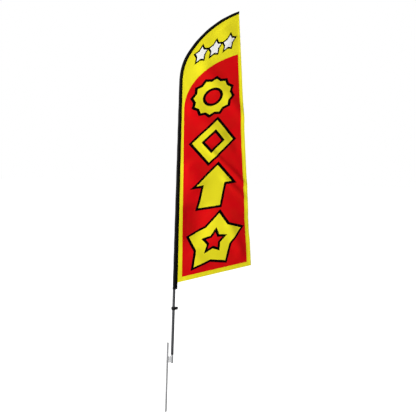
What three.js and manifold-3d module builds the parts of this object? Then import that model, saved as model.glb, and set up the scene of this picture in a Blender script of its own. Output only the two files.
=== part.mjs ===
// Feather flag on a two-part pole, standing on a ground spike. Millimetres, +Z up.
// The origin is on the pole's axis, at the underside of the spike's peg, which is at ground level.
// The flag lies in the XZ plane and flies towards +X.

import * as THREE from 'three';
import { mergeVertices } from 'three/addons/utils/BufferGeometryUtils.js';
import Module from 'manifold-3d';

// Gap kept between pieces that touch
const GAP = 0.3;
const ROUND_SIDES = 32;
const WELD_DISTANCE = 1e-4;

// Ground spike
const ROD_RADIUS = 8;
const ROD_AXIS_X = -45;
const ROD_TOP_Z = 199;
const ROD_TIP_Z = -468;
const ROD_POINT_LENGTH = 14;
const ROD_TIP_RADIUS = 4.5;
const PLATE_BOTTOM_Z = 9;
const PLATE_TOP_Z = 68;
const PLATE_THICKNESS = 8;
const PEG_BASE_RADIUS = 10.75;
const PEG_SHOULDER_Z = 82;
const SPINDLE_RADIUS = 8;
const SPINDLE_TOP_Z = 300;
const STEEL_CHAMFER = 1.5;

// Swivel between the peg and the pole
const WASHER_THICKNESS = 2;
const BUSH_BORE_RADIUS = SPINDLE_RADIUS + GAP;
const BUSH_FLANGE_RADIUS = 13;
const BUSH_FLANGE_THICKNESS = 6;
const BUSH_BARREL_TOP_Z = 124;
const GUIDE_BOTTOM_Z = 262;
const GUIDE_TOP_Z = 292;

// Pole tubes, from the ground up
const LOWER_OUTER_RADIUS = 12.5;
const LOWER_INNER_RADIUS = 11.3;
const LOWER_TOP_Z = 517;
const MIDDLE_OUTER_RADIUS = 12.1;
const MIDDLE_INNER_RADIUS = 10.8;
const MIDDLE_TOP_Z = 1000;
// The middle tube's lower end is drawn down to a spigot that slides into the lower tube.
const SPIGOT_OUTER_RADIUS = LOWER_INNER_RADIUS - GAP;
const SPIGOT_INNER_RADIUS = 9.7;
const SPIGOT_NECK = 8;
const UPPER_OUTER_RADIUS = 8;
const UPPER_INNER_RADIUS = 6.4;
const UPPER_BOTTOM_Z = 880;
const UPPER_TOP_Z = 2400;
const TIP_ROD_RADIUS = 5;
const TIP_ROD_BOTTOM_Z = 2290;
const TIP_ROD_STEPS = 30;
const FERRULE_DEPTH = 60;
const FERRULE_FLANGE_THICKNESS = 5;
const TIP_CAP_RADIUS = 7;
const TIP_CAP_LENGTH = 26;
const TIP_CAP_END = 6;
const TIP_CAP_STEPS = 2;
const CUTTER_OVERRUN = 1;

// Ring with a lug for the flag's tie, on the lower tube's top end
const COLLAR_RADIUS = 20.5;
const COLLAR_BOTTOM_Z = 505.5;
const COLLAR_TOP_Z = 532.5;
const COLLAR_EDGE = 3.5;
const LUG_ROOT_X = 17;
const LUG_REACH_X = 39.5;
const LUG_BOTTOM_Z = 506.5;
const LUG_TOP_Z = 531.5;
const LUG_EDGE = 4;
const LUG_WIDTH = 14;
// The notch that holds the tie is open at the top, at the bottom and on the +Y side.
const NOTCH_START_X = 26;
const NOTCH_END_X = 33;
const NOTCH_FLOOR_Y = -1;

// Centreline of the pole: straight up, a tight bend, then a wide one to the tip
const BEND_START_Z = 2562;
const TIGHT_BEND_RADIUS = 482;
const TIGHT_BEND_ANGLE = THREE.MathUtils.degToRad(31.86);
const WIDE_BEND_RADIUS = 1108;
const WIDE_BEND_ANGLE = THREE.MathUtils.degToRad(32.82);
const TIGHT_BEND_LENGTH = TIGHT_BEND_RADIUS * TIGHT_BEND_ANGLE;
const WIDE_BEND_LENGTH = WIDE_BEND_RADIUS * WIDE_BEND_ANGLE;
const TIP_DISTANCE = BEND_START_Z + TIGHT_BEND_LENGTH + WIDE_BEND_LENGTH;

// Sleeve: a round channel with a flat seam allowance towards the flag
const SLEEVE_BOTTOM_Z = 697;
const SLEEVE_WALL = 1.2;
const SLEEVE_BORE_LOW = 13;
const SLEEVE_BORE_HIGH = 8.2;
const SEAM_REACH_LOW = 31;
const SEAM_REACH_HIGH = 13;
const SEAM_HALF_THICKNESS = 0.8;
const SLEEVE_SIDES = 24;
const SLEEVE_STEPS = 24;
const SLEEVE_END_WALL = 4;
const TIP_CLEARANCE = 7;
// The far end is cut in line with the flag's free edge, not square to the pole.
const END_CUT_SLOPE = 0.477;
const END_CUT_LENGTH = 60;

// Flag panel
const PANEL_THICKNESS = 1.5;
const PANEL_CORNER_Z = 756;
const FLY_CORNER_X = 779;
const FLY_CORNER_Z = 885;
const BILLOW_HEIGHT = 14;
const BILLOW_START_X = 30;
const BILLOW_FULL_X = 330;
const BILLOW_FADE_START_Z = 2500;
const BILLOW_FADE_END_Z = 3150;
const WAVES = [
  { share: 0.67, spacing: 330, slant: 0.7, phase: 0 },
  { share: 0.33, spacing: 190, slant: -1.4, phase: 1 },
];
const PANEL_CUT_DEPTH = 60;
const PANEL_MARGIN = 10;
const PANEL_COLUMNS = 12;
const PANEL_ROWS = 40;

const wasm = await Module();
wasm.setup();

// ---------- shared shape tools ----------

// A merged, closed geometry becomes a solid that can be cut and joined.
function toSolid(geometry) {
  const bare = geometry.clone();
  bare.deleteAttribute('normal');
  bare.deleteAttribute('uv');
  const merged = mergeVertices(bare, WELD_DISTANCE);
  return new wasm.Manifold(new wasm.Mesh({
    numProp: 3,
    vertProperties: new Float32Array(merged.attributes.position.array),
    triVerts: new Uint32Array(merged.index.array),
  }));
}

function toGeometry(solid) {
  const mesh = solid.getMesh();
  const geometry = new THREE.BufferGeometry();
  geometry.setAttribute('position', new THREE.BufferAttribute(mesh.vertProperties, 3));
  geometry.setIndex(new THREE.BufferAttribute(mesh.triVerts, 1));
  geometry.computeVertexNormals();
  return geometry;
}

// Turns a profile of [radius, z] pairs about the Z axis.
function turned(profile) {
  const points = profile.map(([radius, z]) => new THREE.Vector2(radius, z));
  const geometry = new THREE.LatheGeometry(points, ROUND_SIDES);
  geometry.rotateX(Math.PI / 2);
  return geometry;
}

function ring(innerRadius, outerRadius, bottomZ, topZ) {
  return turned([
    [innerRadius, bottomZ],
    [outerRadius, bottomZ],
    [outerRadius, topZ],
    [innerRadius, topZ],
    [innerRadius, bottomZ],
  ]);
}

// Extrudes an outline drawn in the XZ plane, centred on y = 0.
function slab(outline, thickness) {
  const geometry = new THREE.ExtrudeGeometry(outline, { depth: thickness, bevelEnabled: false });
  geometry.translate(0, 0, -thickness / 2);
  geometry.rotateX(Math.PI / 2);
  return geometry;
}

function polygon(points) {
  return new THREE.Shape(points.map(([x, z]) => new THREE.Vector2(x, z)));
}

// ---------- centreline of the pole ----------

// Place and heading at a distance along the centreline; the heading is measured from vertical.
function poleAt(distance) {
  if (distance <= BEND_START_Z) {
    return { x: 0, z: distance, heading: 0 };
  }
  const intoTight = Math.min(distance - BEND_START_Z, TIGHT_BEND_LENGTH);
  const tightHeading = intoTight / TIGHT_BEND_RADIUS;
  const x = TIGHT_BEND_RADIUS * (1 - Math.cos(tightHeading));
  const z = BEND_START_Z + TIGHT_BEND_RADIUS * Math.sin(tightHeading);
  const intoWide = distance - BEND_START_Z - TIGHT_BEND_LENGTH;
  if (intoWide <= 0) {
    return { x, z, heading: tightHeading };
  }
  const heading = TIGHT_BEND_ANGLE + intoWide / WIDE_BEND_RADIUS;
  return {
    x: x + WIDE_BEND_RADIUS * (Math.cos(TIGHT_BEND_ANGLE) - Math.cos(heading)),
    z: z + WIDE_BEND_RADIUS * (Math.sin(heading) - Math.sin(TIGHT_BEND_ANGLE)),
    heading,
  };
}

// The point at an offset from the centreline, in the flag's plane, towards the flag.
function besidePole(distance, offset) {
  const { x, z, heading } = poleAt(distance);
  return [x + offset * Math.cos(heading), z - offset * Math.sin(heading)];
}

class PoleLine extends THREE.Curve {
  constructor(start, end) {
    super();
    this.start = start;
    this.end = end;
  }

  getPoint(t, target = new THREE.Vector3()) {
    const { x, z } = poleAt(THREE.MathUtils.lerp(this.start, this.end, t));
    return target.set(x, 0, z);
  }
}

// ---------- ground spike ----------

function spikeRod() {
  return turned([
    [0, ROD_TIP_Z],
    [ROD_TIP_RADIUS, ROD_TIP_Z],
    [ROD_RADIUS, ROD_TIP_Z + ROD_POINT_LENGTH],
    [ROD_RADIUS, ROD_TOP_Z - STEEL_CHAMFER],
    [ROD_RADIUS - STEEL_CHAMFER, ROD_TOP_Z],
    [0, ROD_TOP_Z],
  ]);
}

// The web between the rod and the peg, hollowed at both ends to follow them.
function spikePlate() {
  const web = toSolid(slab(polygon([
    [ROD_AXIS_X, PLATE_BOTTOM_Z],
    [0, PLATE_BOTTOM_Z],
    [0, PLATE_TOP_Z],
    [ROD_AXIS_X, PLATE_TOP_Z],
  ]), PLATE_THICKNESS));
  const rodCutter = turned([
    [0, 0],
    [ROD_RADIUS + GAP, 0],
    [ROD_RADIUS + GAP, PEG_SHOULDER_Z],
    [0, PEG_SHOULDER_Z],
  ]);
  rodCutter.translate(ROD_AXIS_X, 0, 0);
  const pegCutter = turned([
    [0, 0],
    [PEG_BASE_RADIUS + GAP, 0],
    [PEG_BASE_RADIUS + GAP, PEG_SHOULDER_Z],
    [0, PEG_SHOULDER_Z],
  ]);
  return toGeometry(web.subtract(toSolid(rodCutter)).subtract(toSolid(pegCutter)));
}

function spikePeg() {
  return turned([
    [0, 0],
    [PEG_BASE_RADIUS - STEEL_CHAMFER, 0],
    [PEG_BASE_RADIUS, STEEL_CHAMFER],
    [PEG_BASE_RADIUS, PEG_SHOULDER_Z],
    [SPINDLE_RADIUS, PEG_SHOULDER_Z],
    [SPINDLE_RADIUS, SPINDLE_TOP_Z - 2 * STEEL_CHAMFER],
    [SPINDLE_RADIUS - 2 * STEEL_CHAMFER, SPINDLE_TOP_Z],
    [0, SPINDLE_TOP_Z],
  ]);
}

// ---------- swivel ----------

const WASHER_BOTTOM_Z = PEG_SHOULDER_Z + GAP;
const WASHER_TOP_Z = WASHER_BOTTOM_Z + WASHER_THICKNESS;
const BUSH_BOTTOM_Z = WASHER_TOP_Z + GAP;
const LOWER_BOTTOM_Z = BUSH_BOTTOM_Z + BUSH_FLANGE_THICKNESS + GAP;
const BUSH_BARREL_RADIUS = LOWER_INNER_RADIUS - GAP;

function lowerBush() {
  const flangeTopZ = BUSH_BOTTOM_Z + BUSH_FLANGE_THICKNESS;
  return turned([
    [BUSH_BORE_RADIUS, BUSH_BOTTOM_Z],
    [BUSH_FLANGE_RADIUS, BUSH_BOTTOM_Z],
    [BUSH_FLANGE_RADIUS, flangeTopZ],
    [BUSH_BARREL_RADIUS, flangeTopZ],
    [BUSH_BARREL_RADIUS, BUSH_BARREL_TOP_Z],
    [BUSH_BORE_RADIUS, BUSH_BARREL_TOP_Z],
    [BUSH_BORE_RADIUS, BUSH_BOTTOM_Z],
  ]);
}

// ---------- pole ----------

function middleTube() {
  const bottomZ = GUIDE_TOP_Z + GAP;
  const shoulderZ = LOWER_TOP_Z + GAP;
  return turned([
    [SPIGOT_INNER_RADIUS, bottomZ],
    [SPIGOT_OUTER_RADIUS, bottomZ],
    [SPIGOT_OUTER_RADIUS, shoulderZ],
    [MIDDLE_OUTER_RADIUS, shoulderZ],
    [MIDDLE_OUTER_RADIUS, MIDDLE_TOP_Z],
    [MIDDLE_INNER_RADIUS, MIDDLE_TOP_Z],
    [MIDDLE_INNER_RADIUS, shoulderZ + SPIGOT_NECK],
    [SPIGOT_INNER_RADIUS, shoulderZ],
    [SPIGOT_INNER_RADIUS, bottomZ],
  ]);
}

// A ferrule has a barrel inside the tube below it and a flange on that tube's end.
function ferrule(boreRadius, tubeInnerRadius, tubeOuterRadius, tubeTopZ) {
  const barrelRadius = tubeInnerRadius - GAP;
  const flangeBottomZ = tubeTopZ + GAP;
  const flangeTopZ = flangeBottomZ + FERRULE_FLANGE_THICKNESS;
  return turned([
    [boreRadius, tubeTopZ - FERRULE_DEPTH],
    [barrelRadius, tubeTopZ - FERRULE_DEPTH],
    [barrelRadius, flangeBottomZ],
    [tubeOuterRadius, flangeBottomZ],
    [tubeOuterRadius, flangeTopZ],
    [boreRadius, flangeTopZ],
    [boreRadius, tubeTopZ - FERRULE_DEPTH],
  ]);
}

const CAP_END_DISTANCE = TIP_DISTANCE - SLEEVE_END_WALL - TIP_CLEARANCE;
const TIP_ROD_END = CAP_END_DISTANCE - TIP_CAP_END - GAP;

function sweptRound(radius, start, end, steps) {
  const section = new THREE.Shape();
  section.absarc(0, 0, radius, 0, 2 * Math.PI);
  return new THREE.ExtrudeGeometry(section, {
    steps,
    curveSegments: ROUND_SIDES / 4,
    bevelEnabled: false,
    extrudePath: new PoleLine(start, end),
  });
}

function tipRod() {
  return sweptRound(TIP_ROD_RADIUS, TIP_ROD_BOTTOM_Z, TIP_ROD_END, TIP_ROD_STEPS);
}

// A rubber cup over the end of the tip rod.
function tipCap() {
  const mouth = CAP_END_DISTANCE - TIP_CAP_LENGTH;
  const boreEnd = CAP_END_DISTANCE - TIP_CAP_END;
  const outside = toSolid(sweptRound(TIP_CAP_RADIUS, mouth, CAP_END_DISTANCE, TIP_CAP_STEPS));
  const bore = toSolid(sweptRound(TIP_ROD_RADIUS + GAP, mouth - CUTTER_OVERRUN, boreEnd, TIP_CAP_STEPS));
  return toGeometry(outside.subtract(bore));
}

// ---------- hook collar ----------

function collarRing() {
  return turned([
    [LOWER_OUTER_RADIUS + GAP, COLLAR_BOTTOM_Z],
    [COLLAR_RADIUS - COLLAR_EDGE, COLLAR_BOTTOM_Z],
    [COLLAR_RADIUS, COLLAR_BOTTOM_Z + COLLAR_EDGE],
    [COLLAR_RADIUS, COLLAR_TOP_Z - COLLAR_EDGE],
    [COLLAR_RADIUS - COLLAR_EDGE, COLLAR_TOP_Z],
    [LOWER_OUTER_RADIUS + GAP, COLLAR_TOP_Z],
    [LOWER_OUTER_RADIUS + GAP, COLLAR_BOTTOM_Z],
  ]);
}

function collarLug() {
  return slab(polygon([
    [LUG_ROOT_X, LUG_BOTTOM_Z],
    [LUG_REACH_X - LUG_EDGE, LUG_BOTTOM_Z],
    [LUG_REACH_X, LUG_BOTTOM_Z + LUG_EDGE],
    [LUG_REACH_X, LUG_TOP_Z - LUG_EDGE],
    [LUG_REACH_X - LUG_EDGE, LUG_TOP_Z],
    [LUG_ROOT_X, LUG_TOP_Z],
  ]), LUG_WIDTH);
}

function tieNotch() {
  const width = NOTCH_END_X - NOTCH_START_X;
  const depth = LUG_WIDTH / 2 - NOTCH_FLOOR_Y + CUTTER_OVERRUN;
  const height = LUG_TOP_Z - LUG_BOTTOM_Z + 2 * CUTTER_OVERRUN;
  const cutter = new THREE.BoxGeometry(width, depth, height);
  cutter.translate(
    NOTCH_START_X + width / 2,
    NOTCH_FLOOR_Y + depth / 2,
    (LUG_BOTTOM_Z + LUG_TOP_Z) / 2,
  );
  return cutter;
}

function hookCollar() {
  const body = toSolid(collarRing()).add(toSolid(collarLug()));
  return toGeometry(body.subtract(toSolid(tieNotch())));
}

// ---------- sleeve ----------

function shareAlongSleeve(distance) {
  return THREE.MathUtils.inverseLerp(SLEEVE_BOTTOM_Z, TIP_DISTANCE, distance);
}

function seamReach(distance) {
  return THREE.MathUtils.lerp(SEAM_REACH_LOW, SEAM_REACH_HIGH, shareAlongSleeve(distance));
}

function boreRadius(distance) {
  return THREE.MathUtils.lerp(SLEEVE_BORE_LOW, SLEEVE_BORE_HIGH, shareAlongSleeve(distance));
}

// The point at an offset from the centreline on a section of the sleeve, which slants near the far end.
function besideSleeve(distance, offset) {
  const slant = THREE.MathUtils.smoothstep(distance, TIP_DISTANCE - END_CUT_LENGTH, TIP_DISTANCE);
  return besidePole(distance - offset * END_CUT_SLOPE * slant, offset);
}

// The outside of the sleeve's section as [towards the flag, across] pairs, counted in turn from the seam.
function sleeveOutside(distance) {
  const radius = boreRadius(distance) + SLEEVE_WALL;
  const reach = seamReach(distance);
  const opening = Math.acos(radius / reach);
  const points = [[reach, -SEAM_HALF_THICKNESS], [reach, SEAM_HALF_THICKNESS]];
  const arcPoints = SLEEVE_SIDES - 2;
  for (let i = 0; i < arcPoints; i += 1) {
    const angle = THREE.MathUtils.lerp(opening, 2 * Math.PI - opening, i / (arcPoints - 1));
    points.push([radius * Math.cos(angle), radius * Math.sin(angle)]);
  }
  return points;
}

function sleeveBore(distance) {
  const radius = boreRadius(distance);
  const points = [];
  for (let i = 0; i < SLEEVE_SIDES; i += 1) {
    const angle = (2 * Math.PI * i) / SLEEVE_SIDES;
    points.push([radius * Math.cos(angle), radius * Math.sin(angle)]);
  }
  return points;
}

// Skins a row of sections along the pole's centreline and closes both ends.
function lofted(distances, sectionAt) {
  const positions = [];
  for (const distance of distances) {
    for (const [offset, y] of sectionAt(distance)) {
      const [x, z] = besideSleeve(distance, offset);
      positions.push(x, y, z);
    }
  }
  const sides = SLEEVE_SIDES;
  const faces = [];
  for (let row = 0; row < distances.length - 1; row += 1) {
    for (let side = 0; side < sides; side += 1) {
      const next = (side + 1) % sides;
      const low = row * sides;
      const high = low + sides;
      faces.push(low + side, low + next, high + next);
      faces.push(low + side, high + next, high + side);
    }
  }
  const lastRow = (distances.length - 1) * sides;
  for (let side = 1; side < sides - 1; side += 1) {
    faces.push(0, side + 1, side);
    faces.push(lastRow, lastRow + side, lastRow + side + 1);
  }
  const geometry = new THREE.BufferGeometry();
  geometry.setAttribute('position', new THREE.Float32BufferAttribute(positions, 3));
  geometry.setIndex(faces);
  return geometry;
}

// Few stations on the straight part and many on the bends.
function sleeveStations(start, end) {
  const stations = [start];
  for (let i = 0; i <= SLEEVE_STEPS; i += 1) {
    const distance = THREE.MathUtils.lerp(BEND_START_Z, end, i / SLEEVE_STEPS);
    stations.push(distance);
  }
  return stations;
}

function poleSleeve() {
  const outside = toSolid(lofted(sleeveStations(SLEEVE_BOTTOM_Z, TIP_DISTANCE), sleeveOutside));
  const boreEnd = TIP_DISTANCE - SLEEVE_END_WALL;
  const bore = toSolid(lofted(sleeveStations(SLEEVE_BOTTOM_Z - CUTTER_OVERRUN, boreEnd), sleeveBore));
  return toGeometry(outside.subtract(bore));
}

// ---------- flag panel ----------

// How far the cloth stands out of its plane: nothing at the sleeve, soft slanting waves outside it.
function billowAt(x, z) {
  const awayFromSleeve = THREE.MathUtils.smoothstep(x, BILLOW_START_X, BILLOW_FULL_X);
  const belowBow = 1 - THREE.MathUtils.smoothstep(z, BILLOW_FADE_START_Z, BILLOW_FADE_END_Z);
  let height = 0;
  for (const { share, spacing, slant, phase } of WAVES) {
    height += share * Math.sin((z + slant * x) / spacing + phase);
  }
  return BILLOW_HEIGHT * awayFromSleeve * belowBow * height;
}

function flagPanel() {
  const outline = [];
  for (let i = 0; i <= SLEEVE_STEPS; i += 1) {
    const distance = THREE.MathUtils.lerp(BEND_START_Z, TIP_DISTANCE, i / SLEEVE_STEPS);
    outline.push(besideSleeve(distance, seamReach(distance) + GAP));
  }
  outline.push([FLY_CORNER_X, FLY_CORNER_Z]);
  outline.push([seamReach(PANEL_CORNER_Z) + GAP, PANEL_CORNER_Z]);
  const cut = toSolid(slab(polygon(outline), PANEL_CUT_DEPTH));
  const width = FLY_CORNER_X;
  const height = TIP_DISTANCE - PANEL_CORNER_Z;
  const sheet = new THREE.BoxGeometry(width, PANEL_THICKNESS, height, PANEL_COLUMNS, 1, PANEL_ROWS);
  sheet.translate(width / 2 + PANEL_MARGIN, 0, PANEL_CORNER_Z - PANEL_MARGIN + height / 2);
  const position = sheet.attributes.position;
  for (let i = 0; i < position.count; i += 1) {
    position.setY(i, position.getY(i) + billowAt(position.getX(i), position.getZ(i)));
  }
  return toGeometry(toSolid(sheet).intersect(cut));
}

// ---------- assembly ----------

const MATERIALS = {
  spikeSteel: { color: 0x9a9c9e, roughness: 0.45, metalness: 0.85 },
  zincSteel: { color: 0xb9bbbd, roughness: 0.4, metalness: 0.85 },
  poleAluminium: { color: 0x7d8083, roughness: 0.35, metalness: 0.9 },
  nylonBlack: { color: 0x17181a, roughness: 0.5, metalness: 0 },
  glassfibre: { color: 0x2b2c2e, roughness: 0.45, metalness: 0 },
  rubber: { color: 0x101011, roughness: 0.8, metalness: 0 },
  sleeveCloth: { color: 0x0d0e10, roughness: 0.85, metalness: 0 },
  flagCloth: { color: 0xd8151b, roughness: 0.6, metalness: 0 },
};

function part(name, geometry, material) {
  const mesh = new THREE.Mesh(geometry, new THREE.MeshStandardMaterial(MATERIALS[material]));
  mesh.name = name;
  return mesh;
}

function groundSpike() {
  const group = new THREE.Group();
  const rod = part('spike_rod', spikeRod(), 'spikeSteel');
  rod.position.x = ROD_AXIS_X;
  group.add(rod);
  group.add(part('spike_plate', spikePlate(), 'zincSteel'));
  group.add(part('spike_peg', spikePeg(), 'zincSteel'));
  return group;
}

function lowerPole() {
  const group = new THREE.Group();
  const washer = ring(BUSH_BORE_RADIUS, LOWER_OUTER_RADIUS, WASHER_BOTTOM_Z, WASHER_TOP_Z);
  const tube = ring(LOWER_INNER_RADIUS, LOWER_OUTER_RADIUS, LOWER_BOTTOM_Z, LOWER_TOP_Z);
  const guide = ring(BUSH_BORE_RADIUS, BUSH_BARREL_RADIUS, GUIDE_BOTTOM_Z, GUIDE_TOP_Z);
  group.add(part('thrust_washer', washer, 'nylonBlack'));
  group.add(part('lower_bush', lowerBush(), 'nylonBlack'));
  group.add(part('upper_guide_bush', guide, 'nylonBlack'));
  group.add(part('lower_tube', tube, 'poleAluminium'));
  group.add(part('hook_collar', hookCollar(), 'nylonBlack'));
  return group;
}

function upperPole() {
  const group = new THREE.Group();
  const middleFerrule = ferrule(
    UPPER_OUTER_RADIUS + GAP,
    MIDDLE_INNER_RADIUS,
    MIDDLE_OUTER_RADIUS,
    MIDDLE_TOP_Z,
  );
  const upper = ring(UPPER_INNER_RADIUS, UPPER_OUTER_RADIUS, UPPER_BOTTOM_Z, UPPER_TOP_Z);
  const tipFerrule = ferrule(
    TIP_ROD_RADIUS + GAP,
    UPPER_INNER_RADIUS,
    UPPER_OUTER_RADIUS,
    UPPER_TOP_Z,
  );
  group.add(part('middle_tube', middleTube(), 'poleAluminium'));
  group.add(part('middle_ferrule', middleFerrule, 'nylonBlack'));
  group.add(part('upper_tube', upper, 'glassfibre'));
  group.add(part('tip_ferrule', tipFerrule, 'zincSteel'));
  group.add(part('tip_rod', tipRod(), 'glassfibre'));
  group.add(part('tip_cap', tipCap(), 'rubber'));
  return group;
}

function flagCloth() {
  const group = new THREE.Group();
  group.add(part('pole_sleeve', poleSleeve(), 'sleeveCloth'));
  group.add(part('flag_panel', flagPanel(), 'flagCloth'));
  return group;
}

const featherFlag = new THREE.Group();
featherFlag.add(groundSpike(), lowerPole(), upperPole(), flagCloth());

export default featherFlag;
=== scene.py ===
import math

import bmesh
import bpy
import numpy as np
from mathutils import Matrix, Quaternion, Vector


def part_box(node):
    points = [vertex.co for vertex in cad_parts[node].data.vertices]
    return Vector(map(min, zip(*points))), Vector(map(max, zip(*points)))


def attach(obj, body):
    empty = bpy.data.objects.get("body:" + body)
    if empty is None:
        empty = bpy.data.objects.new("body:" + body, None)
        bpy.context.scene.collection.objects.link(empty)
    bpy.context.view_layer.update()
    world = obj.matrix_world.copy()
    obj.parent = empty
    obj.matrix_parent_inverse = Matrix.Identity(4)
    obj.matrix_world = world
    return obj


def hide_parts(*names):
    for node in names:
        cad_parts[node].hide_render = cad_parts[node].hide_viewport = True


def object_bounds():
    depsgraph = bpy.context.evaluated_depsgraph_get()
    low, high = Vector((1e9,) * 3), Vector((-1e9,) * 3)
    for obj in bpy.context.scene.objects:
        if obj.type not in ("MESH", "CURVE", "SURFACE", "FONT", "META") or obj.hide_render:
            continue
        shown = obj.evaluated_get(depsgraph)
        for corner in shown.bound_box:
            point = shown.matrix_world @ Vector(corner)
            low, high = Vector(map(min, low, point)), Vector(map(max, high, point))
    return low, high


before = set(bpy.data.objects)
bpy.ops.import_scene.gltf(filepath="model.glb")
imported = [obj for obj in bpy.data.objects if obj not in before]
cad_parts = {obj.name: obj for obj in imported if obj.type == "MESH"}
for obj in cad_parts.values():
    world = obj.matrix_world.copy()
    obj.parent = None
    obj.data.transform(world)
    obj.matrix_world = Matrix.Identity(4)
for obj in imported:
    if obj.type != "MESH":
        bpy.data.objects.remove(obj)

CAD_LOW, CAD_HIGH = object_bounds()

# ---------- driving sizes, in metres ----------

SPIKE, WASHER, LOWER, HOOK, UPPER = "ground_spike", "swivel_washer", "lower_pole", "tie_hook", "upper_pole"

# centreline of the pole, as the design has it
BEND_START = 2.562
TIGHT_RADIUS, TIGHT_ANGLE = 0.482, math.radians(31.86)
WIDE_RADIUS, WIDE_ANGLE = 1.108, math.radians(32.82)
TIGHT_LENGTH = TIGHT_RADIUS * TIGHT_ANGLE
TIP_DISTANCE = BEND_START + TIGHT_LENGTH + WIDE_RADIUS * WIDE_ANGLE

# sleeve
SLEEVE_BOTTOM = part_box("pole_sleeve")[0].z
SLEEVE_WALL = 0.0009
BORE_LOW, BORE_HIGH = 0.0130, 0.0082
SEAM_LOW, SEAM_HIGH = 0.031, 0.013
SEAM_HALF_THICKNESS = 0.0011
SLEEVE_HEM, SLEEVE_HEM_EXTRA = 0.022, 0.0007
SLEEVE_STEP = 0.0045
STITCH_ROWS = (0.0025, 0.0075)
WARP_PITCH, WEFT_PITCH = 0.0016, 0.0022
END_CUT_SLOPE, END_CUT_LENGTH = 0.477, 0.060

# flag panel
PANEL_CORNER = 0.756
FLY_CORNER = (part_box("flag_panel")[1].x, 0.885)
CLOTH_HALF_THICKNESS = 0.0003
HEM_HALF_THICKNESS = 0.0008
HEM_WIDTH = 0.018
TUCK = 0.009
CLOTH_STEP = 0.007
WALE_PITCH, COURSE_PITCH = 0.0024, 0.0019

# spike and pole
GAP = 0.0003
ROD_TIP_RADIUS, ROD_POINT_LENGTH = 0.0045, 0.014
SPINDLE_RADIUS = 0.008
BUSH_BORE = SPINDLE_RADIUS + GAP
BUSH_BARREL = 0.011
LOWER_BORE = 0.0113
SPIGOT_OUTER, SPIGOT_INNER = 0.0110, 0.0097
MIDDLE_BORE = 0.0108
LUG_ROOT, LUG_WIDTH = 0.017, 0.014
NOTCH, NOTCH_FLOOR = (0.026, 0.033), -0.001

# room light: the side it comes from, its range, and the share that matt surfaces get of it
SOFTBOX_SIDE = Vector((-0.88, -0.40, 0.25)).normalized()
ROOM_DARK, ROOM_BRIGHT = 0.10, 0.85
ROOM_ON_MATT = 0.22

# camera, at the height and bearing from which the whole flag is seen
VIEW_AZIMUTH, VIEW_ELEVATION, VIEW_ROLL = -22.0, 5.0, 2.1
CAMERA_PLACE = (-1.236, -3.813, 1.804)
CAMERA_LENS = 38.6


# ---------- shader tools ----------

class Shader:
    """A material's node tree with short calls for the nodes that the materials here use."""

    def __init__(self, name):
        self.material = bpy.data.materials.new(name)
        self.material.use_nodes = True
        self.nodes = self.material.node_tree.nodes
        self.links = self.material.node_tree.links
        self.bsdf = self.nodes["Principled BSDF"]

    def put(self, socket, value):
        if isinstance(value, bpy.types.NodeSocket):
            self.links.new(value, socket)
        else:
            socket.default_value = value

    def set(self, **values):
        """Sets the shader's own sockets; a name's underscores are spaces."""
        for name, value in values.items():
            self.put(self.bsdf.inputs[name.replace("_", " ")], value)

    def math(self, operation, *values, clamp=False):
        node = self.nodes.new("ShaderNodeMath")
        node.operation = operation
        node.use_clamp = clamp
        for socket, value in zip(node.inputs, values):
            self.put(socket, value)
        return node.outputs[0]

    def add(self, a, b):
        return self.math("ADD", a, b)

    def sub(self, a, b):
        return self.math("SUBTRACT", a, b)

    def mul(self, a, b):
        return self.math("MULTIPLY", a, b)

    def largest(self, first, *rest):
        for value in rest:
            first = self.math("MAXIMUM", first, value)
        return first

    def smallest(self, first, *rest):
        for value in rest:
            first = self.math("MINIMUM", first, value)
        return first

    def mix(self, share, a, b):
        node = self.nodes.new("ShaderNodeMix")
        node.data_type = "RGBA"
        self.put(node.inputs[0], share)
        self.put(node.inputs[6], a)
        self.put(node.inputs[7], b)
        return node.outputs[2]

    def ramp(self, value, low, high, to_low=0.0, to_high=1.0, kind="SMOOTHSTEP"):
        node = self.nodes.new("ShaderNodeMapRange")
        node.interpolation_type = kind
        for socket, number in zip(node.inputs, (value, low, high, to_low, to_high)):
            self.put(socket, number)
        return node.outputs[0]

    def noise(self, place, scale, detail=2.0, roughness=0.5, distortion=0.0):
        node = self.nodes.new("ShaderNodeTexNoise")
        self.links.new(place, node.inputs["Vector"])
        node.inputs["Scale"].default_value = scale
        node.inputs["Detail"].default_value = detail
        node.inputs["Roughness"].default_value = roughness
        node.inputs["Distortion"].default_value = distortion
        return node.outputs["Fac"]

    def object_place(self):
        return self.nodes.new("ShaderNodeTexCoord").outputs["Object"]

    def uv_place(self, layer):
        node = self.nodes.new("ShaderNodeUVMap")
        node.uv_map = layer
        return node.outputs[0]

    def split(self, vector):
        node = self.nodes.new("ShaderNodeSeparateXYZ")
        self.links.new(vector, node.inputs[0])
        return node.outputs

    def stretched(self, place, scale):
        node = self.nodes.new("ShaderNodeMapping")
        self.links.new(place, node.inputs["Vector"])
        node.inputs["Scale"].default_value = scale
        return node.outputs[0]

    def bump(self, height, distance, strength=1.0):
        node = self.nodes.new("ShaderNodeBump")
        node.inputs["Distance"].default_value = distance
        node.inputs["Strength"].default_value = strength
        self.links.new(height, node.inputs["Height"])
        self.links.new(node.outputs[0], self.bsdf.inputs["Normal"])


def rgb(red, green, blue):
    """A colour given as it looks, from 0 to 255, as the linear colour that a shader takes."""
    def linear(c):
        c /= 255
        return c / 12.92 if c <= 0.04045 else ((c + 0.055) / 1.055) ** 2.4
    return (linear(red), linear(green), linear(blue), 1.0)


# ---------- printed artwork, in the cloth's flat plan ----------

YELLOW = rgb(243, 232, 38)
RED = rgb(221, 12, 20)
INK_BLACK = rgb(6, 6, 7)
INK_WHITE = rgb(252, 252, 251)
INK_EDGE = 0.0007
OUTLINE = 0.0238
SMALL_OUTLINE = 0.0165

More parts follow.
